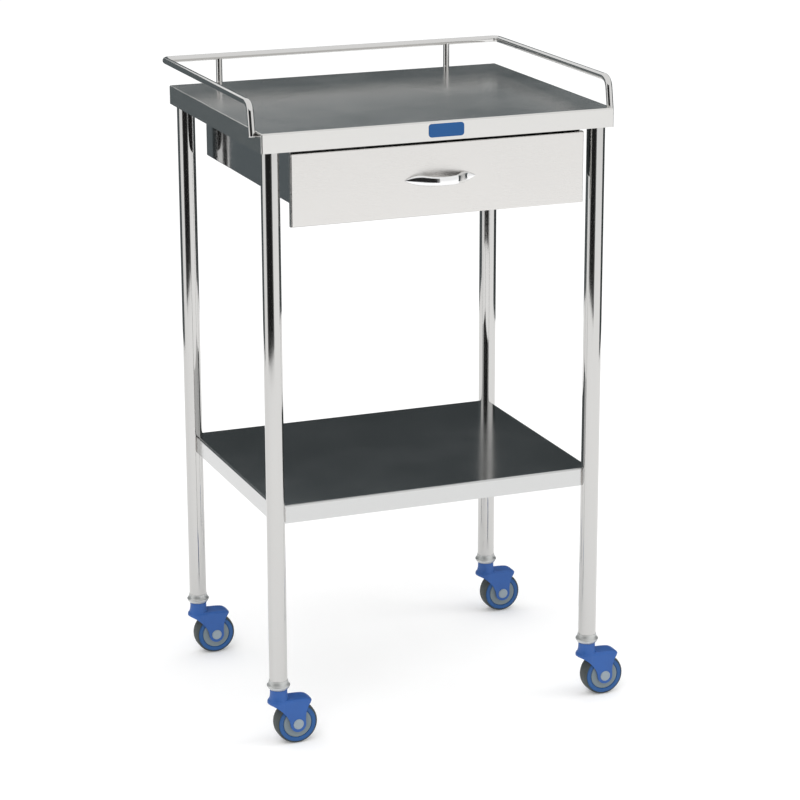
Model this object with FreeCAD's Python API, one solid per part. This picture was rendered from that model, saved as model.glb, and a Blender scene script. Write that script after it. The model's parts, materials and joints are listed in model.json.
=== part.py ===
import FreeCAD, Part
import os
import math
from FreeCAD import Vector as V

# Instrument cart: a stainless top with a three-sided guard rail, one drawer in
# a housing under the top, a lower shelf, four tube legs and four swivel casters.
# Millimetres, +Z up, X across the front, the drawer opens towards -Y.
# The origin is on the floor, at the centre of the whole cart's footprint.

# ---- driving dimensions -------------------------------------------------------
TOP_W = 508.0            # top sheet, left to right (20 in)
TOP_D = 406.4            # top sheet, front to back (16 in)
TOP_Z = 864.0            # height of the work surface (34 in)
TOP_SKIRT = 26.4         # depth of the folded skirt
TOP_LIP = 4.6            # return flange under the skirt
SHEET = 1.2              # stainless sheet thickness
TOP_FOLD_R = 2.0         # outer radius of the top fold
TOP_CORNER_R = 2.2       # ground radius of the welded corners

LEG_R = 12.7             # 1 in tube
LEG_WALL = 1.2
LEG_X = 236.0            # leg centres
LEG_Y = 184.0
LEG_BOTTOM_Z = 88.0

SHELF_Z = 346.5          # lower shelf surface
SHELF_X = 236.6          # half width to the skirt's outer face
SHELF_Y = 184.4          # half depth to the skirt's outer face
SHELF_SKIRT = 25.6
SHELF_FOLD_R = 2.4

RAIL_R = 4.75            # 3/8 in rod
RAIL_Z = 900.0           # centreline height
RAIL_BEND_R = 15.0       # front bends, to the centreline
RAIL_CORNER_R = 9.0      # rear corners, to the centreline
RAIL_FRONT_Y = -173.0    # centreline of the front uprights, at the rail's height
RAIL_LEAN = 8.0          # the foot of each front upright stands this far forward
RAIL_END_Z = 856.5
RAIL_POST_X = 177.0      # rear posts

DRAWER_X = 212.0         # half width of the drawer front
DRAWER_Y = -197.0        # front face
DRAWER_Z0 = 735.0
DRAWER_Z1 = 833.4
DRAWER_T = 7.6           # depth of the folded front
DRAWER_RETURN = 12.0     # inner return of the folded front
DRAWER_TRAVEL = 330.0

PAN_X = 195.5            # half width of the drawer box, outside
PAN_Y1 = 158.0
PAN_Z0 = 769.5
PAN_Z1 = 830.0
PAN_T = 1.0

HOUSING_X = 210.0        # half width of the housing, outside
HOUSING_Y0 = -188.4
HOUSING_Y1 = 171.0
HOUSING_Z0 = 765.0
HOUSING_FLANGE = 10.0

SLIDE_Z = 806.0          # centre height of the drawer slides
SLIDE_Y0 = -187.0
SLIDE_Y1 = 163.0
SLIDE_T = 1.3

HANDLE_HALF = 50.8       # half length of the pull
HANDLE_BULGE = 22.0      # centreline of the bow from the drawer front
HANDLE_Z = 785.5
HANDLE_HOLE_X = 38.1     # 3 in between screws
HANDLE_SCREW_R = 2.0

BADGE_X0, BADGE_X1 = -19.0, 31.8
BADGE_Z0, BADGE_Z1 = 842.4, 860.6
BADGE_T = 1.0

CASTER_TRAIL = 23.5      # swivel axis to axle
WHEEL_R = 30.0
WHEEL_HALF_W = 11.5
RIM_R = 27.0             # blue wheel body
HUB_R = 20.2             # grey hub cover
FORK_IN = 12.5           # half of the gap between the fork's arms
FORK_OUT = 15.3          # half of the fork's outside width
FORK_WELL_R = 32.0       # clearance round the wheel
FORK_TOP_Z = 81.7
FORK_RIM_R = 4.6         # rounding of the hood's upper rim
STEM_R = 5.5
STEM_TOP_Z = 126.0
STEM_RUN = 0.06          # radial running clearance in the fork's crown
AXLE_R = 4.0
AXLE_RUN = 0.05          # radial running clearance in the wheel's bush
RING_Z0 = 82.0

# the footprint's centre, measured from the centre of the top sheet: the casters
# trail to the right, and the pull and the rear rail stand out front and back
FOOT_X0 = -(TOP_W / 2 + 2 * RAIL_R)
FOOT_X1 = LEG_X + CASTER_TRAIL + WHEEL_R
FOOT_Y0 = DRAWER_Y - HANDLE_BULGE - 2.9
FOOT_Y1 = TOP_D / 2 + 2 * RAIL_R
ORIGIN = V(-(FOOT_X0 + FOOT_X1) / 2, -(FOOT_Y0 + FOOT_Y1) / 2, 0)

CORNERS = {
    "front_left": (-LEG_X, -LEG_Y),
    "front_right": (LEG_X, -LEG_Y),
    "rear_left": (-LEG_X, LEG_Y),
    "rear_right": (LEG_X, LEG_Y),
}


# ---- helpers --------------------------------------------------------------------
def box(x0, y0, z0, x1, y1, z1):
    return Part.makeBox(x1 - x0, y1 - y0, z1 - z0, V(x0, y0, z0))


def cyl(r, p, h, axis=V(0, 0, 1)):
    return Part.makeCylinder(r, h, V(*p), axis)


def union(shapes):
    s = shapes[0]
    for t in shapes[1:]:
        s = s.fuse(t)
    return s.removeSplitter()


def group(shapes):
    return Part.makeCompound(shapes)


def edges_where(shape, test):
    out = []
    for e in shape.Edges:
        if test(e):
            out.append(e)
    return out


def fillet(shape, r, test):
    es = edges_where(shape, test)
    if not es:
        return shape
    return shape.makeFillet(r, es)


def is_vertical(e):
    a, b = e.Vertexes[0].Point, e.Vertexes[-1].Point
    return abs(a.x - b.x) < 1e-6 and abs(a.y - b.y) < 1e-6 and abs(a.z - b.z) > 1e-6


def at_z(e, z, tol=1e-5):
    bb = e.BoundBox
    return abs(bb.ZMin - z) < tol and abs(bb.ZMax - z) < tol


def revolve(pts, p=V(0, 0, 0)):
    """Full turn of an (r, z) outline about the vertical line through p."""
    w = Part.makePolygon([V(r, 0, z) for r, z in pts] + [V(pts[0][0], 0, pts[0][1])])
    s = Part.Face(w).revolve(V(0, 0, 0), V(0, 0, 1), 360)
    s = Part.Solid(s) if s.ShapeType != "Solid" else s
    s.translate(p)
    return s


def revolve_y(pts, p=V(0, 0, 0)):
    """Full turn of an (r, y) outline about the line along Y through p."""
    w = Part.makePolygon([V(r, y, 0) for r, y in pts] + [V(pts[0][0], pts[0][1], 0)])
    s = Part.Face(w).revolve(V(0, 0, 0), V(0, 1, 0), 360)
    s = Part.Solid(s) if s.ShapeType != "Solid" else s
    s.translate(p)
    return s


def folded_tray(hx, hy, z_top, skirt, t, r_fold, r_corner, lip):
    """A sheet folded down on four sides, with a small return under the skirt."""
    outer = box(-hx, -hy, z_top - skirt, hx, hy, z_top)
    outer = fillet(outer, r_corner, is_vertical)
    outer = fillet(outer, r_fold, lambda e: at_z(e, z_top))
    inner = box(-hx + t, -hy + t, z_top - skirt + t, hx - t, hy - t, z_top - t)
    inner = fillet(inner, max(r_corner - t, 0.4), is_vertical)
    inner = fillet(inner, max(r_fold - t, 0.4), lambda e: at_z(e, z_top - t))
    mouth = box(-hx + t + lip, -hy + t + lip, z_top - skirt - 1, hx - t - lip, hy - t - lip, z_top - skirt + t + 1)
    return outer.cut(inner).cut(mouth)


def pipe(path_edges, r, start, direction):
    wire = Part.Wire(path_edges)
    prof = Part.Wire([Part.makeCircle(r, start, direction)])
    s = wire.makePipeShell([prof], True, False)
    return s


# ---- top --------------------------------------------------------------------------
def make_top():
    return folded_tray(TOP_W / 2, TOP_D / 2, TOP_Z, TOP_SKIRT, SHEET, TOP_FOLD_R, TOP_CORNER_R, TOP_LIP)


def make_shelf():
    s = folded_tray(SHELF_X, SHELF_Y, SHELF_Z, SHELF_SKIRT, SHEET, SHELF_FOLD_R, 0.8, 9.0)
    for x, y in CORNERS.values():
        s = s.cut(cyl(LEG_R + 0.02, (x, y, SHELF_Z - 60), 120))
        # the corner outside the leg's centre is cut away
        sx, sy = math.copysign(1, x), math.copysign(1, y)
        x1, y1 = x + sx * 20, y + sy * 20
        s = s.cut(box(min(x, x1), min(y, y1), SHELF_Z - 60, max(x, x1), max(y, y1), SHELF_Z + 20))
    return max(s.Solids, key=lambda q: q.Volume)


def arc3(c, a, b, m):
    return Part.Arc(a, m, b).toShape()


def make_rail():
    x, y = TOP_W / 2 + RAIL_R, TOP_D / 2 + RAIL_R
    c, k = RAIL_CORNER_R, RAIL_CORNER_R * (1 - math.sqrt(0.5))
    f, z = RAIL_FRONT_Y, RAIL_Z
    h = z - RAIL_END_Z
    n = math.hypot(RAIL_LEAN, h)
    uy, uz = RAIL_LEAN / n, h / n                     # up along the upright
    t = RAIL_BEND_R * math.tan(math.acos(uy) / 2)      # tangent length of the front bend
    ay, az = f - uy * t, z - uz * t
    by = f + t
    my, mz = f - by, z - (z - RAIL_BEND_R)
    m = RAIL_BEND_R / math.hypot(my, mz)
    my, mz = by + my * m, z - RAIL_BEND_R + mz * m
    e = []
    e.append(Part.makeLine(V(-x, f - RAIL_LEAN, RAIL_END_Z), V(-x, ay, az)))
    e.append(Part.Arc(V(-x, ay, az), V(-x, my, mz), V(-x, by, z)).toShape())
    e.append(Part.makeLine(V(-x, by, z), V(-x, y - c, z)))
    e.append(Part.Arc(V(-x, y - c, z), V(-x + k, y - k, z), V(-x + c, y, z)).toShape())
    e.append(Part.makeLine(V(-x + c, y, z), V(x - c, y, z)))
    e.append(Part.Arc(V(x - c, y, z), V(x - k, y - k, z), V(x, y - c, z)).toShape())
    e.append(Part.makeLine(V(x, y - c, z), V(x, by, z)))
    e.append(Part.Arc(V(x, by, z), V(x, my, mz), V(x, ay, az)).toShape())
    e.append(Part.makeLine(V(x, ay, az), V(x, f - RAIL_LEAN, RAIL_END_Z)))
    s = pipe(e, RAIL_R, V(-x, f - RAIL_LEAN, RAIL_END_Z), V(0, uy, uz))
    return fillet(s, 1.6, lambda q: q.BoundBox.ZMax < RAIL_END_Z + 2.5 and q.BoundBox.DiagonalLength > 3)


def make_rail_posts():
    y = TOP_D / 2 + RAIL_R
    out = []
    for x in (-RAIL_POST_X, RAIL_POST_X):
        p = cyl(RAIL_R - 0.25, (x, y, RAIL_END_Z), RAIL_Z - RAIL_END_Z)
        p = p.cut(Part.makeCylinder(RAIL_R, 40, V(x - 20, y, RAIL_Z), V(1, 0, 0)))
        out.append(max(p.Solids, key=lambda q: q.Volume))
    return group(out)


def make_leg(x, y):
    h = TOP_Z - SHEET - 0.02 - LEG_BOTTOM_Z
    return cyl(LEG_R, (x, y, LEG_BOTTOM_Z), h).cut(cyl(LEG_R - LEG_WALL, (x, y, LEG_BOTTOM_Z), h))


# ---- drawer housing and slides ------------------------------------------------------
def bent_c(x0, x1, y0, y1, z0, z1, t, top_dir, bottom_dir, flange):
    """A side wall from x0 to x1 with a flange at the top and one at the bottom."""
    lo, hi = min(x0, x1), max(x0, x1)
    parts = [box(lo, y0, z0, hi, y1, z1)]
    for d, za in ((top_dir, z1 - t), (bottom_dir, z0)):
        if d > 0:
            parts.append(box(lo, y0, za, lo + flange, y1, za + t))
        elif d < 0:
            parts.append(box(hi - flange, y0, za, hi, y1, za + t))
    return union(parts)


def along_y(e):
    a, b = e.Vertexes[0].Point, e.Vertexes[-1].Point
    return abs(a.x - b.x) < 1e-6 and abs(a.z - b.z) < 1e-6 and abs(a.y - b.y) > 1e-3


def make_housing_side(side):
    x = HOUSING_X
    s = bent_c(x - SHEET, x, HOUSING_Y0, HOUSING_Y1, HOUSING_Z0, TOP_Z - SHEET, SHEET, -1, -1, HOUSING_FLANGE)
    # outside of the two folds
    s = fillet(s, 1.1, lambda e: along_y(e) and abs(e.BoundBox.XMax - x) < 1e-6 and abs(e.BoundBox.ZMin - HOUSING_Z0) < 1e-6)
    return s if side > 0 else s.mirror(V(0, 0, 0), V(1, 0, 0))


def make_housing_back():
    x = HOUSING_X - SHEET
    y1 = HOUSING_Y1
    plate = box(-x, y1 - SHEET, HOUSING_Z0, x, y1, TOP_Z - SHEET)
    foot = box(-x + HOUSING_FLANGE, y1 - 9, HOUSING_Z0, x - HOUSING_FLANGE, y1, HOUSING_Z0 + SHEET)
    head = box(-x + HOUSING_FLANGE, y1 - 9, TOP_Z - 2 * SHEET, x - HOUSING_FLANGE, y1, TOP_Z - SHEET)
    s = union([plate, foot, head])
    # clear of the side walls' flanges
    for sx in (-1, 1):
        for z in (HOUSING_Z0, TOP_Z - 2 * SHEET):
            a, b = sorted((sx * x, sx * (x - HOUSING_FLANGE)))
            s = s.cut(box(a - 0.05, y1 - 20, z - 0.05, b + 0.05, y1 + 1, z + SHEET + 0.05))
    return max(s.Solids, key=lambda q: q.Volume)


def slide_channel(x_web, x_open, half, t, y0, y1):
    """A C section lying on its side: web at x_web, open towards x_open."""
    d = 1 if x_open > x_web else -1
    a, b = sorted((x_web, x_open))
    s = box(a, y0, SLIDE_Z - half, b, y1, SLIDE_Z + half)
    c, e = sorted((x_web + d * t, x_open + d * 5))
    s = s.cut(box(c, y0 - 1, SLIDE_Z - half + t, e, y1 + 1, SLIDE_Z + half - t))
    return s


def mirrored(s, side):
    return s if side > 0 else s.mirror(V(0, 0, 0), V(1, 0, 0))


def make_slide_outer(side):
    w = HOUSING_X - SHEET
    return mirrored(slide_channel(w, w - 10.8, 22.5, SLIDE_T, SLIDE_Y0, SLIDE_Y1 + 2), side)


def make_slide_middle(side):
    w = HOUSING_X - SHEET - 2.8
    return mirrored(slide_channel(w, w - 8.6, 18.9, SLIDE_T, SLIDE_Y0, SLIDE_Y1), side)


def make_slide_inner(side):
    w = PAN_X
    return mirrored(slide_channel(w, w + 7.8, 15.3, SLIDE_T, SLIDE_Y0, SLIDE_Y1 - 5), side)


# ---- drawer ------------------------------------------------------------------------------
def make_drawer_front():
    x, y0, y1 = DRAWER_X, DRAWER_Y, DRAWER_Y + DRAWER_T
    outer = box(-x, y0, DRAWER_Z0, x, y1, DRAWER_Z1)
    front = lambda e: abs(e.BoundBox.YMin - y0) < 1e-6 and abs(e.BoundBox.YMax - y0) < 1e-6
    outer = fillet(outer, 1.9, front)
    inner = box(-x + SHEET, y0 + SHEET, DRAWER_Z0 + SHEET, x - SHEET, y1 - SHEET, DRAWER_Z1 - SHEET)
    f2 = lambda e: abs(e.BoundBox.YMin - (y0 + SHEET)) < 1e-6 and abs(e.BoundBox.YMax - (y0 + SHEET)) < 1e-6
    inner = fillet(inner, 0.7, f2)
    r = DRAWER_RETURN
    mouth = box(-x + SHEET + r, y1 - SHEET - 1, DRAWER_Z0 + SHEET + r, x - SHEET - r, y1 + 1, PAN_Z0 - 2.0)
    mouth2 = box(-x + SHEET + r + 8, y1 - SHEET - 1, PAN_Z0 + 4.0, x - SHEET - r - 8, y1 + 1, DRAWER_Z1 - SHEET - r)
    s = outer.cut(inner).cut(mouth).cut(mouth2)
    for hx in (-HANDLE_HOLE_X, HANDLE_HOLE_X):
        s = s.cut(cyl(HANDLE_SCREW_R + 0.15, (hx, y0 - 5, HANDLE_Z), 10, V(0, 1, 0)))
    return s


def make_drawer_pan():
    y0, y1 = DRAWER_Y + DRAWER_T, PAN_Y1
    outer = box(-PAN_X, y0, PAN_Z0, PAN_X, y1, PAN_Z1)
    outer = fillet(outer, 2.0, lambda e: at_z(e, PAN_Z0) and e.BoundBox.YMax > y0 + 1e-3)
    t = PAN_T
    inner = box(-PAN_X + t, y0 + t, PAN_Z0 + t, PAN_X - t, y1 - t, PAN_Z1 + 5)
    inner = fillet(inner, 1.5, is_vertical)
    inner = fillet(inner, 1.0, lambda e: at_z(e, PAN_Z0 + t))
    s = outer.cut(inner)
    # folded hem round the rim, inside
    hem = box(-PAN_X + 0.4, y0 + 0.4, PAN_Z1 - 8, PAN_X - 0.4, y1 - 0.4, PAN_Z1)
    hem = hem.cut(box(-PAN_X + 2 * t, y0 + 2 * t, PAN_Z1 - 9, PAN_X - 2 * t, y1 - 2 * t, PAN_Z1 + 1))
    s = s.fuse(hem).removeSplitter()
    for hx in (-HANDLE_HOLE_X, HANDLE_HOLE_X):
        s = s.cut(cyl(HANDLE_SCREW_R + 0.15, (hx, y0 - 2, HANDLE_Z), 5, V(0, 1, 0)))
    return s


def make_handle():
    """A cast bow pull: two leaf-shaped feet on the drawer front and a raised bow."""
    # (x, centreline from the front, height, thickness)
    st = [
        (50.4, 0.5, 1.4, 1.6),
        (46.5, 1.1, 5.8, 3.6),
        (41.0, 2.1, 10.4, 5.8),
        (35.0, 3.9, 13.6, 7.2),
        (29.0, 8.0, 14.6, 6.8),
        (23.0, 13.6, 13.8, 6.0),
        (16.0, 18.6, 12.8, 5.6),
        (8.0, 21.2, 12.2, 5.6),
        (0.0, HANDLE_BULGE, 12.0, 5.6),
    ]
    full = [(-a, b, c, d) for a, b, c, d in st] + [(a, b, c, d) for a, b, c, d in reversed(st[:-1])]
    wires = []
    for i, (x, d, h, t) in enumerate(full):
        j, k = max(i - 1, 0), min(i + 1, len(full) - 1)
        dx, dd = full[k][0] - full[j][0], full[k][1] - full[j][1]
        n = math.hypot(dx, dd)
        tx, td = dx / n, dd / n           # along the bow, in the (x, out) plane
        # out is -Y
        tangent = V(tx, -td, 0)
        ex = V(0, 0, 1)
        ey = V(td, tx, 0)                # across the bow
        pts = []
        for q in range(16):
            a = 2 * math.pi * q / 16
            ca, sa = math.cos(a), math.sin(a)
            pz = h / 2 * math.copysign(abs(ca) ** 0.95, ca)
            py = t / 2 * math.copysign(abs(sa) ** 0.85, sa)
            pts.append(V(x, DRAWER_Y - d, HANDLE_Z) + ex * pz + ey * py)
        c = Part.BSplineCurve()
        c.interpolate(pts, PeriodicFlag=True)
        wires.append(Part.Wire([c.toShape()]))
    s = Part.makeLoft(wires, True, False)
    s = s.cut(box(-80, DRAWER_Y, HANDLE_Z - 30, 80, DRAWER_Y + 40, HANDLE_Z + 30))
    s = max(s.Solids, key=lambda q: q.Volume)
    for hx in (-HANDLE_HOLE_X, HANDLE_HOLE_X):
        s = s.cut(cyl(HANDLE_SCREW_R + 0.02, (hx, DRAWER_Y - 4.6, HANDLE_Z), 10, V(0, 1, 0)))
    return s


def make_handle_screws():
    y1 = DRAWER_Y + DRAWER_T + PAN_T
    out = []
    for hx in (-HANDLE_HOLE_X, HANDLE_HOLE_X):
        shank = cyl(HANDLE_SCREW_R, (hx, DRAWER_Y - 4.4, HANDLE_Z), y1 - DRAWER_Y + 4.4, V(0, 1, 0))
        head = cyl(4.0, (hx, y1 + 0.02, HANDLE_Z), 2.2, V(0, 1, 0))
        head = fillet(head, 1.2, lambda e: abs(e.BoundBox.YMin - (y1 + 2.22)) < 1e-4)
        slot = box(hx - 5, y1 + 1.2, HANDLE_Z - 0.5, hx + 5, y1 + 4, HANDLE_Z + 0.5)
        neck = cyl(HANDLE_SCREW_R, (hx, y1 - 0.5, HANDLE_Z), 1.0, V(0, 1, 0))
        out.append(union([shank, neck, head]).cut(slot))
    return group(out)


def make_badge():
    y = -TOP_D / 2
    s = box(BADGE_X0, y - BADGE_T, BADGE_Z0, BADGE_X1, y, BADGE_Z1)
    s = fillet(s, 4.4, lambda e: e.BoundBox.YMax - e.BoundBox.YMin > BADGE_T * 0.9)
    s = fillet(s, 0.3, lambda e: abs(e.BoundBox.YMax - (y - BADGE_T)) < 1e-5)
    return s


# ---- casters ---------------------------------------------------------------------------------
def make_ring(x, y):
    """Pressed collar on the foot of the leg: it cups the tube's end and flares above the fork."""
    z, q = RING_Z0, LEG_R + 0.02
    pts = [(STEM_R + 0.02, z), (12.9, z), (13.7, z + 0.6), (15.0, z + 2.4), (16.0, z + 4.2), (16.35, z + 5.2),
           (16.1, z + 6.1), (15.3, z + 7.1), (14.5, z + 8.3), (13.85, z + 9.8), (13.35, z + 11.6), (13.05, z + 13.4),
           (q, z + 13.5), (q, LEG_BOTTOM_Z), (STEM_R + 0.02, LEG_BOTTOM_Z)]
    return revolve(pts, V(x, y, 0))


def make_socket(x, y):
    r = LEG_R - LEG_WALL - 0.02
    z0, z1 = LEG_BOTTOM_Z, STEM_TOP_Z + 4
    pts = [(STEM_R + 0.02, z0), (r, z0), (r, z1 - 3), (r - 2, z1), (STEM_R + 0.02, z1)]
    return revolve(pts, V(x, y, 0))


def make_stem(x, y):
    pts = [(0, 58.6), (7.6, 58.6), (8.4, 59.4), (8.4, 61.2), (STEM_R, 61.2), (STEM_R, STEM_TOP_Z - 1.5),
           (STEM_R - 1.5, STEM_TOP_Z), (0, STEM_TOP_Z)]
    return revolve(pts, V(x, y, 0))


def plan_outline(rn, half, x_end, r_end):
    """Outline in plan: a round of radius rn at the swivel axis running back to a rounded end."""
    # tangent line from the round to the straight side at (x_s, half)
    xs = 15.0
    a = math.radians(78)
    p0 = V(rn * math.cos(a), rn * math.sin(a), 0)
    m0 = V(p0.x, -p0.y, 0)
    front = Part.Arc(p0, V(-rn, 0, 0), m0).toShape()
    q = r_end * (1 - math.sqrt(0.5))
    e = [
        front,
        Part.makeLine(m0, V(xs, -half, 0)),
        Part.makeLine(V(xs, -half, 0), V(x_end - r_end, -half, 0)),
        Part.Arc(V(x_end - r_end, -half, 0), V(x_end - q, -half + q, 0), V(x_end, -half + r_end, 0)).toShape(),
        Part.makeLine(V(x_end, -half + r_end, 0), V(x_end, half - r_end, 0)),
        Part.Arc(V(x_end, half - r_end, 0), V(x_end - q, half - q, 0), V(x_end - r_end, half, 0)).toShape(),
        Part.makeLine(V(x_end - r_end, half, 0), V(xs, half, 0)),
        Part.makeLine(V(xs, half, 0), p0),
    ]
    return Part.Wire(e)


def fork_side_outline():
    """Side view of the fork, in X and Z from the swivel axis, wheel trailing to +X."""
    a = CASTER_TRAIL
    left = Part.BSplineCurve()
    left.interpolate([V(-16.2, 0, 61.4), V(-8.2, 0, 58.2), V(1.0, 0, 50.6), V(8.6, 0, 40.4), V(12.2, 0, 29.6)])
    right = Part.BSplineCurve()
    right.interpolate([V(34.8, 0, 29.6), V(34.5, 0, 40.0), V(36.2, 0, 49.4), V(39.6, 0, 56.6)])
    top = Part.BSplineCurve()
    top.interpolate([V(45.6, 0, 62.2), V(42.0, 0, 64.6), V(34.0, 0, 66.4), V(22.0, 0, 67.1), V(0.0, 0, 67.3), V(-16.2, 0, 67.3)])
    return Part.Wire([
        Part.makeLine(V(-16.2, 0, 67.3), V(-16.2, 0, 61.4)),
        left.toShape(),
        Part.Arc(V(12.2, 0, 29.6), V(a, 0, WHEEL_R - 11.6), V(34.8, 0, 29.6)).toShape(),
        right.toShape(),
        Part.makeLine(V(39.6, 0, 56.6), V(45.6, 0, 62.2)),
        top.toShape(),
    ])


def make_fork(x, y):
    """Moulded fork: a neck that flares into a hood over the wheel, and two arms down to the axle."""
    a = CASTER_TRAIL
    plan = Part.Face(plan_outline(16.0, FORK_OUT, 45.8, 9.0)).extrude(V(0, 0, 90))
    side = Part.Face(fork_side_outline()).extrude(V(0, 60, 0))
    side.translate(V(0, -30, 0))
    body = side.common(plan)
    # soften the hood's upper rim
    def rim(e):
        bb = e.BoundBox
        return bb.ZMin > 60.0 and bb.ZMax - bb.ZMin < 6.0 and bb.YMax - bb.YMin < 35 and not (bb.XMax - bb.XMin < 0.05 and bb.YMax - bb.YMin > 4)
    body = fillet(body, FORK_RIM_R, rim)
    # the neck flares from the stem's ring down into the hood
    neck = revolve([(0, 50.0), (16.0, 50.0), (16.0, 61.8), (15.75, 62.9), (15.0, 64.5), (14.0, 66.6), (13.1, 69.0), (12.5, 71.6),
                    (12.2, 74.2), (12.1, 76.8), (12.1, FORK_TOP_Z - 0.6), (11.5, FORK_TOP_Z), (0, FORK_TOP_Z)])
    low = Part.BSplineCurve()
    low.interpolate([V(-16.2, 0, 61.4), V(-8.2, 0, 58.2), V(1.0, 0, 50.6), V(8.6, 0, 40.4), V(12.2, 0, 29.6)])
    low = Part.Wire([low.toShape(), Part.makeLine(V(12.2, 0, 29.6), V(30, 0, 29.6)), Part.makeLine(V(30, 0, 29.6), V(30, 0, 100)),
                     Part.makeLine(V(30, 0, 100), V(-16.2, 0, 100)), Part.makeLine(V(-16.2, 0, 100), V(-16.2, 0, 61.4))])
    low = Part.Face(low).extrude(V(0, 60, 0))
    low.translate(V(0, -30, 0))
    neck = neck.common(low)
    body = body.fuse(neck).removeSplitter()
    well = cyl(FORK_WELL_R, (a, -FORK_IN, WHEEL_R), 2 * FORK_IN, V(0, 1, 0))
    well = well.fuse(box(a - FORK_WELL_R, -FORK_IN, 0, a + FORK_WELL_R, FORK_IN, WHEEL_R))
    well = well.fuse(box(a, -FORK_IN, 0, a + FORK_WELL_R + 20, FORK_IN, 51.0))
    body = body.cut(well)
    body = body.cut(cyl(STEM_R + STEM_RUN, (0, 0, 40), 60))
    body = body.cut(cyl(9.2, (0, 0, 40), 21.6))
    body = body.cut(cyl(AXLE_R + 0.02, (a, -30, WHEEL_R), 60, V(0, 1, 0)))
    s = max(body.Solids, key=lambda q: q.Volume)
    s.translate(V(x, y, 0))
    return s


def make_axle(x, y):
    h = FORK_OUT + 0.02
    pts = [(0, -h - 1.6), (5.6, -h - 1.6), (7.0, -h - 1.1), (7.5, -h - 0.2), (7.5, -h), (AXLE_R, -h), (AXLE_R, h),
           (7.5, h), (7.5, h + 0.2), (7.0, h + 1.1), (5.6, h + 1.6), (0, h + 1.6)]
    return revolve_y(pts, V(x + CASTER_TRAIL, y, WHEEL_R))


def make_bush(x, y):
    r0, r1 = AXLE_R + AXLE_RUN, 6.5
    w = FORK_IN - 0.3
    return revolve_y([(r0, -w), (r1, -w), (r1, w), (r0, w)], V(x + CASTER_TRAIL, y, WHEEL_R))


def make_wheel(x, y):
    w = WHEEL_HALF_W
    r0 = 6.52
    half = [(r0, w - 1.4), (HUB_R + 0.35, w - 1.4), (HUB_R + 0.55, w - 0.9), (HUB_R + 1.0, w - 0.25), (HUB_R + 1.8, w),
            (RIM_R - 1.2, w), (RIM_R - 0.3, w - 0.5), (RIM_R, w - 1.4)]
    pts = half + [(r, -q) for r, q in reversed(half)]
    return revolve_y(pts, V(x + CASTER_TRAIL, y, WHEEL_R))


def make_hub_covers(x, y):
    w = WHEEL_HALF_W
    out = []
    for sgn in (-1, 1):
        pts = [(6.6, w - 1.38), (HUB_R, w - 1.38), (HUB_R, w - 0.6), (HUB_R - 0.6, w - 0.05), (HUB_R - 1.6, w + 0.12),
               (11.0, w + 0.3), (6.6, w + 0.3)]
        out.append(revolve_y([(r, sgn * q) for r, q in pts], V(x + CASTER_TRAIL, y, WHEEL_R)))
    return group(out)


def make_tread(x, y):
    w = WHEEL_HALF_W
    r0 = RIM_R + 0.02
    half = [(r0, w - 1.35), (r0 + 0.3, w - 0.5), (27.9, w - 0.55), (28.6, w - 1.1), (29.3, w - 2.4), (29.8, w - 4.4), (WHEEL_R, w - 6.8)]
    pts = half + [(r, -q) for r, q in reversed(half)]
    return revolve_y(pts, V(x + CASTER_TRAIL, y, WHEEL_R))


# ---- assembly -----------------------------------------------------------------------------------
nodes = {}
nodes["top_sheet"] = make_top()
nodes["guard_rail"] = make_rail()
nodes["rail_posts"] = make_rail_posts()
nodes["lower_shelf"] = make_shelf()
nodes["name_badge"] = make_badge()
nodes["housing_side_left"] = make_housing_side(-1)
nodes["housing_side_right"] = make_housing_side(1)
nodes["housing_back"] = make_housing_back()
for side, word in ((-1, "left"), (1, "right")):
    nodes["slide_outer_" + word] = make_slide_outer(side)
    nodes["slide_middle_" + word] = make_slide_middle(side)
    nodes["slide_inner_" + word] = make_slide_inner(side)
nodes["drawer_front"] = make_drawer_front()
nodes["drawer_pan"] = make_drawer_pan()
nodes["drawer_handle"] = make_handle()
nodes["handle_screws"] = make_handle_screws()
for word, (cx, cy) in CORNERS.items():
    nodes["leg_" + word] = make_leg(cx, cy)
    nodes["leg_ring_" + word] = make_ring(cx, cy)
    nodes["stem_socket_" + word] = make_socket(cx, cy)
    nodes["caster_stem_" + word] = make_stem(cx, cy)
    nodes["caster_fork_" + word] = make_fork(cx, cy)
    nodes["caster_axle_" + word] = make_axle(cx, cy)
    nodes["wheel_bush_" + word] = make_bush(cx, cy)
    nodes["wheel_centre_" + word] = make_wheel(cx, cy)
    nodes["hub_covers_" + word] = make_hub_covers(cx, cy)
    nodes["wheel_tread_" + word] = make_tread(cx, cy)

os.makedirs("parts", exist_ok=True)
for name, shape in nodes.items():
    moved = shape.copy()
    moved.translate(ORIGIN)
    if not moved.isValid():
        print("not valid:", name)
    moved.exportStep("parts/" + name + ".step")
    bb = moved.BoundBox
    print("%-28s %2d solid(s) %10.0f mm3  x %.1f..%.1f  y %.1f..%.1f  z %.1f..%.1f" % (
        name, len(moved.Solids), moved.Volume, bb.XMin, bb.XMax, bb.YMin, bb.YMax, bb.ZMin, bb.ZMax))
print(len(nodes), "nodes; origin shift", ORIGIN)
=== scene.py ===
import json
import math

import bmesh
import bpy
from mathutils import Matrix, Vector


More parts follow.
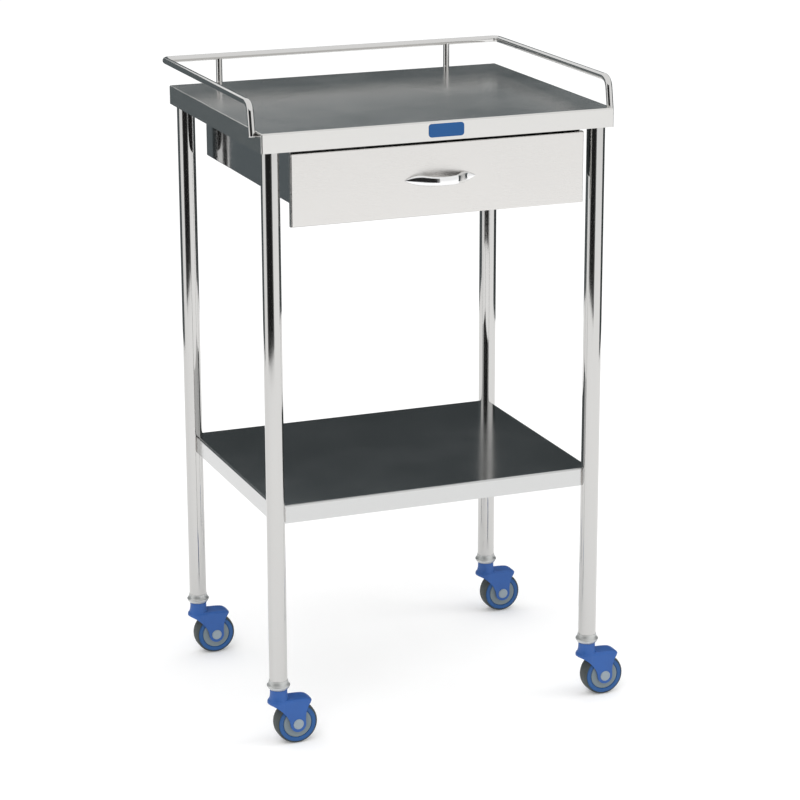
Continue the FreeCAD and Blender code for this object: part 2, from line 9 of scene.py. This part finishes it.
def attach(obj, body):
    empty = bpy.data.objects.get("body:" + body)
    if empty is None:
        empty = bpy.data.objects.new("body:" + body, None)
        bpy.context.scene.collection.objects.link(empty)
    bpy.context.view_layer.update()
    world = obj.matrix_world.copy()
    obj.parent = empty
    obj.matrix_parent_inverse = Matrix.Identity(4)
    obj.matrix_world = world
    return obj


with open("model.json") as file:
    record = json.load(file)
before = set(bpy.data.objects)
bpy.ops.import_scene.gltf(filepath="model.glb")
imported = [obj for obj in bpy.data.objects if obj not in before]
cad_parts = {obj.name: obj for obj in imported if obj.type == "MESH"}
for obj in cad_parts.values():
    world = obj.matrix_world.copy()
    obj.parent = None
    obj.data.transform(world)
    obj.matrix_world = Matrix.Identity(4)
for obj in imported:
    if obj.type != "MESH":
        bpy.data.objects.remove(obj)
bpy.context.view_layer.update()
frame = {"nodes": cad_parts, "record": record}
nodes = frame["nodes"]
CORNERS = ("front_left", "front_right", "rear_left", "rear_right")


# ---------------------------------------------------------------- material tools
class Nodes:
    """Small helper that adds and links shader nodes."""

    def __init__(self, name):
        self.mat = bpy.data.materials.new(name)
        self.mat.use_nodes = True
        self.t = self.mat.node_tree
        self.t.nodes.clear()
        self.out = self.t.nodes.new("ShaderNodeOutputMaterial")
        self.p = self.t.nodes.new("ShaderNodeBsdfPrincipled")
        self.t.links.new(self.p.outputs["BSDF"], self.out.inputs["Surface"])
        self.coord = self.t.nodes.new("ShaderNodeTexCoord")

    def link(self, a, b):
        self.t.links.new(a, b)

    def mapping(self, scale, rot=(0, 0, 0)):
        m = self.t.nodes.new("ShaderNodeMapping")
        m.inputs["Scale"].default_value = scale
        m.inputs["Rotation"].default_value = rot
        self.link(self.coord.outputs["Object"], m.inputs["Vector"])
        return m.outputs["Vector"]

    def noise(self, vec, scale, detail=3.0, rough=0.5):
        n = self.t.nodes.new("ShaderNodeTexNoise")
        n.inputs["Scale"].default_value = scale
        n.inputs["Detail"].default_value = detail
        n.inputs["Roughness"].default_value = rough
        self.link(vec, n.inputs["Vector"])
        return n.outputs["Fac"]

    def ramp(self, fac, stops):
        r = self.t.nodes.new("ShaderNodeValToRGB")
        e = r.color_ramp.elements
        while len(e) < len(stops):
            e.new(0.5)
        for i, (pos, col) in enumerate(stops):
            e[i].position = pos
            e[i].color = (*col, 1.0) if len(col) == 3 else col
        self.link(fac, r.inputs["Fac"])
        return r.outputs["Color"]

    def range(self, fac, a0, a1, b0, b1):
        m = self.t.nodes.new("ShaderNodeMapRange")
        m.inputs["From Min"].default_value = a0
        m.inputs["From Max"].default_value = a1
        m.inputs["To Min"].default_value = b0
        m.inputs["To Max"].default_value = b1
        self.link(fac, m.inputs["Value"])
        return m.outputs["Result"]

    def math(self, op, a, b):
        m = self.t.nodes.new("ShaderNodeMath")
        m.operation = op
        for i, v in enumerate((a, b)):
            if isinstance(v, (int, float)):
                m.inputs[i].default_value = v
            else:
                self.link(v, m.inputs[i])
        return m.outputs[0]

    def bump(self, height, strength, distance):
        b = self.t.nodes.new("ShaderNodeBump")
        b.inputs["Strength"].default_value = strength
        b.inputs["Distance"].default_value = distance
        self.link(height, b.inputs["Height"])
        self.link(b.outputs["Normal"], self.p.inputs["Normal"])
        return b


def steel(name, color, rough, grain, grain_amount=0.05, bump=0.02, smudge=0.05, tint=0.03):
    """Stainless sheet or tube: fine brushed lines along one direction, soft smudges and a little colour drift."""
    n = Nodes(name)
    p = n.p
    p.inputs["Metallic"].default_value = 1.0
    lines = n.noise(n.mapping(grain), 1.0, 4.0, 0.65)
    wide = n.noise(n.mapping(tuple(g * 0.21 for g in grain)), 1.0, 2.0, 0.5)
    soft = n.noise(n.mapping((1, 1, 1)), 7.0, 3.0, 0.55)
    a = n.range(lines, 0.3, 0.7, rough - grain_amount, rough + grain_amount)
    b = n.range(soft, 0.3, 0.7, -smudge, smudge)
    r = n.math("ADD", a, b)
    n.link(r, p.inputs["Roughness"])
    mix = n.math("ADD", n.math("MULTIPLY", lines, 0.6), n.math("MULTIPLY", wide, 0.4))
    lo = tuple(c * (1 - tint) for c in color)
    hi = tuple(min(1.0, c * (1 + tint)) for c in color)
    n.link(n.ramp(mix, [(0.32, lo), (0.68, hi)]), p.inputs["Base Color"])
    n.bump(mix, bump, 0.0004)
    return n.mat


def plastic(name, color, rough, spread=0.08, grain=1400.0, bump=0.06, specular=0.45, dust=0.12):
    """Moulded plastic: fine spark texture, slight cloudiness and a hint of rubbed wear."""
    n = Nodes(name)
    p = n.p
    p.inputs["Specular IOR Level"].default_value = specular
    fine = n.noise(n.mapping((1, 1, 1)), grain, 2.0, 0.5)
    cloud = n.noise(n.mapping((1, 1, 1)), 38.0, 4.0, 0.55)
    lo = tuple(c * (1 - dust) for c in color)
    hi = tuple(min(1.0, c * (1 + dust)) for c in color)
    n.link(n.ramp(cloud, [(0.3, lo), (0.7, hi)]), p.inputs["Base Color"])
    r = n.math("ADD", n.range(cloud, 0.3, 0.7, rough - spread, rough + spread), n.range(fine, 0.3, 0.7, -0.03, 0.03))
    n.link(r, p.inputs["Roughness"])
    n.bump(fine, bump, 0.0002)
    return n.mat


M = {}
M["top"] = steel("brushed_top", (0.675, 0.668, 0.652), 0.20, (14, 2600, 2600), 0.025, 0.012, 0.03, 0.012)
# The shelf is the same brushed stainless sheet as the top. Its base colour is set darker than the top's as painted
# shade, standing in for the darker reflections and shade on the lower shelf.
M["shelf"] = steel("brushed_shelf_painted_shade", (0.565, 0.568, 0.565), 0.15, (14, 2600, 2600), 0.02, 0.012, 0.03, 0.010)
M["housing"] = steel("bright_housing", (0.62, 0.625, 0.63), 0.10, (900, 9, 900), 0.03, 0.01, 0.03)
M["front"] = steel("brushed_front", (0.675, 0.662, 0.645), 0.26, (14, 2600, 2600), 0.025, 0.012, 0.03, 0.010)
M["pan"] = steel("brushed_pan", (0.66, 0.66, 0.65), 0.25, (900, 9, 900), 0.05, 0.03, 0.04)
M["tube"] = steel("polished_tube", (0.545, 0.540, 0.530), 0.07, (700, 700, 6), 0.02, 0.006, 0.02, 0.01)
M["rod"] = steel("polished_rod", (0.64, 0.635, 0.625), 0.09, (500, 500, 500), 0.02, 0.006, 0.02, 0.01)
M["zinc"] = steel("zinc_slide", (0.60, 0.62, 0.64), 0.32, (300, 5, 300), 0.06, 0.03, 0.08, 0.06)
M["chrome"] = steel("chrome_pull", (0.82, 0.82, 0.82), 0.10, (60, 60, 60), 0.012, 0.004, 0.015, 0.01)
M["screw"] = steel("zinc_screw", (0.58, 0.58, 0.58), 0.3, (400, 400, 400), 0.06, 0.03, 0.06, 0.05)
M["weld"] = steel("weld_bead", (0.46, 0.44, 0.42), 0.42, (300, 300, 300), 0.08, 0.05, 0.08, 0.10)
M["ring"] = steel("satin_ring", (0.60, 0.61, 0.60), 0.50, (40, 40, 900), 0.05, 0.03, 0.05, 0.05)
M["turned"] = steel("turned_steel", (0.55, 0.55, 0.56), 0.25, (40, 40, 1500), 0.05, 0.04, 0.05, 0.04)
M["badge"] = plastic("blue_enamel", (0.004, 0.070, 0.225), 0.22, 0.04, 900.0, 0.01, 0.35, 0.05)
M["nylon_black"] = plastic("socket_nylon", (0.03, 0.03, 0.03), 0.5)
M["nylon"] = plastic("bush_nylon", (0.72, 0.71, 0.67), 0.4)
M["blue"] = plastic("blue_fork", (0.018, 0.090, 0.320), 0.46, 0.06, 1300.0, 0.05, 0.45, 0.05)
M["blue_wheel"] = plastic("blue_wheel", (0.010, 0.078, 0.245), 0.44, 0.06, 1300.0, 0.05, 0.45, 0.06)
M["hub"] = plastic("grey_hub", (0.165, 0.205, 0.225), 0.48, 0.06, 1300.0, 0.05, 0.4, 0.06)
M["axle"] = plastic("grey_axle", (0.255, 0.305, 0.345), 0.45, 0.06, 1300.0, 0.04, 0.4, 0.05)
M["tread"] = plastic("rubber_tread", (0.05, 0.06, 0.06), 0.62, 0.08, 700.0, 0.15, 0.35, 0.18)

SLOT_MATERIAL = {
    "stainless_top": "top", "stainless_shelf": "shelf", "stainless_housing": "housing", "stainless_front": "front",
    "stainless_pan": "pan", "stainless_tube": "tube", "stainless_rod": "rod", "zinc_steel": "zinc", "chrome_cast": "chrome",
    "steel_screw": "screw", "badge_enamel": "badge", "ring_grey": "ring", "socket_nylon": "nylon_black",
    "steel_turned": "turned", "blue_plastic": "blue", "blue_wheel": "blue_wheel", "hub_grey": "hub", "axle_grey": "axle",
    "bush_nylon": "nylon", "tread_rubber": "tread",
}
for sub in frame["record"]["subparts"]:
    mat = M[SLOT_MATERIAL[sub["material_slot"]]]
    o = nodes[sub["node"]]
    for i in range(len(o.material_slots)):
        o.material_slots[i].material = mat

# ---------------------------------------------------------------- weld beads where the shelf's skirts meet the legs
def weld_bead(name, x, y, z0, z1, r, seed):
    """A short rippled bead up the line where a skirt meets a tube."""
    rings, sides = 34, 10
    verts, faces = [], []
    for i in range(rings + 1):
        u = i / rings
        z = z0 + (z1 - z0) * u
        taper = min(1.0, 6.0 * u + 0.12, 6.0 * (1 - u) + 0.12)
        k = r * taper * (1.0 + 0.16 * math.sin(2 * math.pi * (7.5 * u + seed)) + 0.07 * math.sin(2 * math.pi * (3.1 * u + 2.7 * seed)))
        ox = 0.00012 * math.sin(2 * math.pi * (2.2 * u + seed))
        for j in range(sides):
            a = 2 * math.pi * j / sides
            verts.append((x + ox + k * math.cos(a), y - ox + k * math.sin(a), z))
    for i in range(rings):
        for j in range(sides):
            a, b = i * sides + j, i * sides + (j + 1) % sides
            faces.append((a, b, b + sides, a + sides))
    faces.append(tuple(reversed(range(sides))))
    faces.append(tuple(range(rings * sides, (rings + 1) * sides)))
    me = bpy.data.meshes.new(name)
    me.from_pydata(verts, [], faces)
    me.materials.append(M["weld"])
    for p in me.polygons:
        p.use_smooth = True
    o = bpy.data.objects.new(name, me)
    bpy.context.scene.collection.objects.link(o)
    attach(o, "frame")
    return o


OX, OY = -0.013, 0.0046
for c in CORNERS:
    sx = -1 if "left" in c else 1
    sy = -1 if "front" in c else 1
    weld_bead("weld_end_" + c, OX + sx * (0.236 - 0.0129), OY + sy * 0.1846, 0.3212, 0.3458, 0.0011, 0.13 + 0.2 * (sx + 2 * sy))
    weld_bead("weld_side_" + c, OX + sx * 0.2368, OY + sy * (0.184 - 0.0129), 0.3212, 0.3458, 0.0011, 0.41 + 0.2 * (sx + 2 * sy))

# ---------------------------------------------------------------- stage: floor, cards, lights, sky
scene = bpy.context.scene
coll = scene.collection


def stage_plane(name, corners, mat):
    me = bpy.data.meshes.new(name)
    me.from_pydata([Vector(c) for c in corners], [], [(0, 1, 2, 3)])
    me.materials.append(mat)
    o = bpy.data.objects.new(name, me)
    coll.objects.link(o)
    return o


floor_mat = bpy.data.materials.new("floor_white")
floor_mat.use_nodes = True
ft = floor_mat.node_tree
fp = ft.nodes["Principled BSDF"]
fp.inputs["Base Color"].default_value = (0.93, 0.93, 0.93, 1)
fp.inputs["Roughness"].default_value = 0.9
fp.inputs["Specular IOR Level"].default_value = 0.0
fp.inputs["Emission Color"].default_value = (1, 1, 1, 1)
fp.inputs["Emission Strength"].default_value = 0.11

stage_plane("floor", [(-40, -40, 0), (40, -40, 0), (40, 40, 0), (-40, 40, 0)], floor_mat)


def card_material(name, stops, z0, z1):
    """A card that glows with a shade set by height: stops are (height share, grey)."""
    m = bpy.data.materials.new(name)
    m.use_nodes = True
    t = m.node_tree
    t.nodes.clear()
    out = t.nodes.new("ShaderNodeOutputMaterial")
    em = t.nodes.new("ShaderNodeEmission")
    geo = t.nodes.new("ShaderNodeNewGeometry")
    sep = t.nodes.new("ShaderNodeSeparateXYZ")
    t.links.new(geo.outputs["Position"], sep.inputs[0])
    mr = t.nodes.new("ShaderNodeMapRange")
    mr.inputs["From Min"].default_value = z0
    mr.inputs["From Max"].default_value = z1
    t.links.new(sep.outputs["Z"], mr.inputs["Value"])
    r = t.nodes.new("ShaderNodeValToRGB")
    e = r.color_ramp.elements
    while len(e) < len(stops):
        e.new(0.5)
    for i, (pos, col) in enumerate(stops):
        e[i].position = pos
        e[i].color = (*col, 1)
    t.links.new(mr.outputs["Result"], r.inputs["Fac"])
    t.links.new(r.outputs["Color"], em.inputs["Color"])
    t.links.new(em.outputs["Emission"], out.inputs["Surface"])
    return m


def arc_card(name, a0, a1, radius, z0, z1, mat, steps=24):
    """A curved card round the cart, from angle a0 to a1. 0 is in front (-Y), and angles grow towards +X."""
    verts, faces = [], []
    for i in range(steps + 1):
        a = math.radians(a0 + (a1 - a0) * i / steps)
        x, y = radius * math.sin(a), -radius * math.cos(a)
        verts += [(x, y, z0), (x, y, z1)]
        if i:
            k = 2 * i
            faces.append((k - 2, k, k + 1, k - 1))
    me = bpy.data.meshes.new(name)
    me.from_pydata(verts, [], faces)
    me.materials.append(mat)
    o = bpy.data.objects.new(name, me)
    coll.objects.link(o)
    for attr in ("visible_camera", "visible_diffuse", "visible_shadow", "visible_transmission", "visible_volume_scatter"):
        setattr(o, attr, False)
    return o


slate = lambda v: (v * 0.87, v * 1.0, v * 1.05)
rear = card_material("card_rear", [(0.0, slate(0.08)), (0.36, slate(0.055)), (0.58, slate(0.062)), (0.66, slate(0.17)), (0.74, slate(0.235)), (1.0, slate(0.20))], 0.0, 2.0)
dark = card_material("card_dark", [(0.0, (0.02, 0.02, 0.02)), (1.0, (0.03, 0.03, 0.03))], 0.0, 2.0)
arc_card("card_rear_left", 172, 244, 2.1, 0.0, 1.56, card_material("card_rl", [(0.0, slate(0.12)), (0.5, slate(0.15)), (0.85, slate(0.12)), (1.0, slate(0.1))], 0.0, 2.0))
arc_card("card_rear_right", 74, 172, 2.1, 0.0, 1.66, rear)
arc_card("card_front_left", 292, 346, 2.3, 0.0, 1.9, dark)
side = card_material("card_side", [(0.0, (0.2, 0.2, 0.2)), (1.0, (0.2, 0.2, 0.2))], 0.0, 2.0)
arc_card("card_front_left_a", 283, 292, 2.31, 0.0, 1.9, side)
arc_card("card_front_left_b", 346, 356, 2.31, 0.0, 1.9, side)

world = bpy.data.worlds.new("sky")
scene.world = world
world.use_nodes = True
wt = world.node_tree
wt.nodes.clear()
wout = wt.nodes.new("ShaderNodeOutputWorld")
bg_cam = wt.nodes.new("ShaderNodeBackground")
bg_cam.inputs["Color"].default_value = (1, 1, 1, 1)
bg_cam.inputs["Strength"].default_value = 1.0
wt.links.new(bg_cam.outputs[0], wout.inputs["Surface"])


def area(name, loc, target, size, power, glossy=False):
    l = bpy.data.lights.new(name, "AREA")
    l.shape = "DISK"
    l.size = size
    l.energy = power
    o = bpy.data.objects.new(name, l)
    coll.objects.link(o)
    o.location = loc
    o.rotation_euler = (Vector(target) - Vector(loc)).to_track_quat("-Z", "Y").to_euler()
    o.visible_glossy = glossy
    o.visible_camera = False
    return o


area("key", (-2.2, -3.0, 4.0), (0, 0, 0.4), 2.6, 48)
area("fill", (3.0, -1.2, 3.0), (0, 0, 0.4), 2.2, 24)

scene.view_settings.view_transform = "Standard"
scene.view_settings.look = "None"
scene.view_settings.exposure = 0.0
scene.view_settings.gamma = 1.0

# ---------------------------------------------------------------- camera
cam_data = bpy.data.cameras.new("camera")
cam = bpy.data.objects.new("camera", cam_data)
coll.objects.link(cam)
scene.camera = cam
cam_data.sensor_width = 36.0
cam_data.lens = 121.5
cam_data.clip_end = 100.0
CAM = (-1.36 - 0.013, -3.48 + 0.0046, 1.52)
YAW, PITCH, ROLL = math.radians(21.62), math.radians(16.38), math.radians(-0.16)
fwd = Vector((math.sin(YAW) * math.cos(PITCH), math.cos(YAW) * math.cos(PITCH), -math.sin(PITCH)))
cam.location = CAM
q = fwd.to_track_quat("-Z", "Y")
cam.rotation_mode = "QUATERNION"
cam.rotation_quaternion = q @ Matrix.Rotation(ROLL, 3, "Z").to_quaternion()
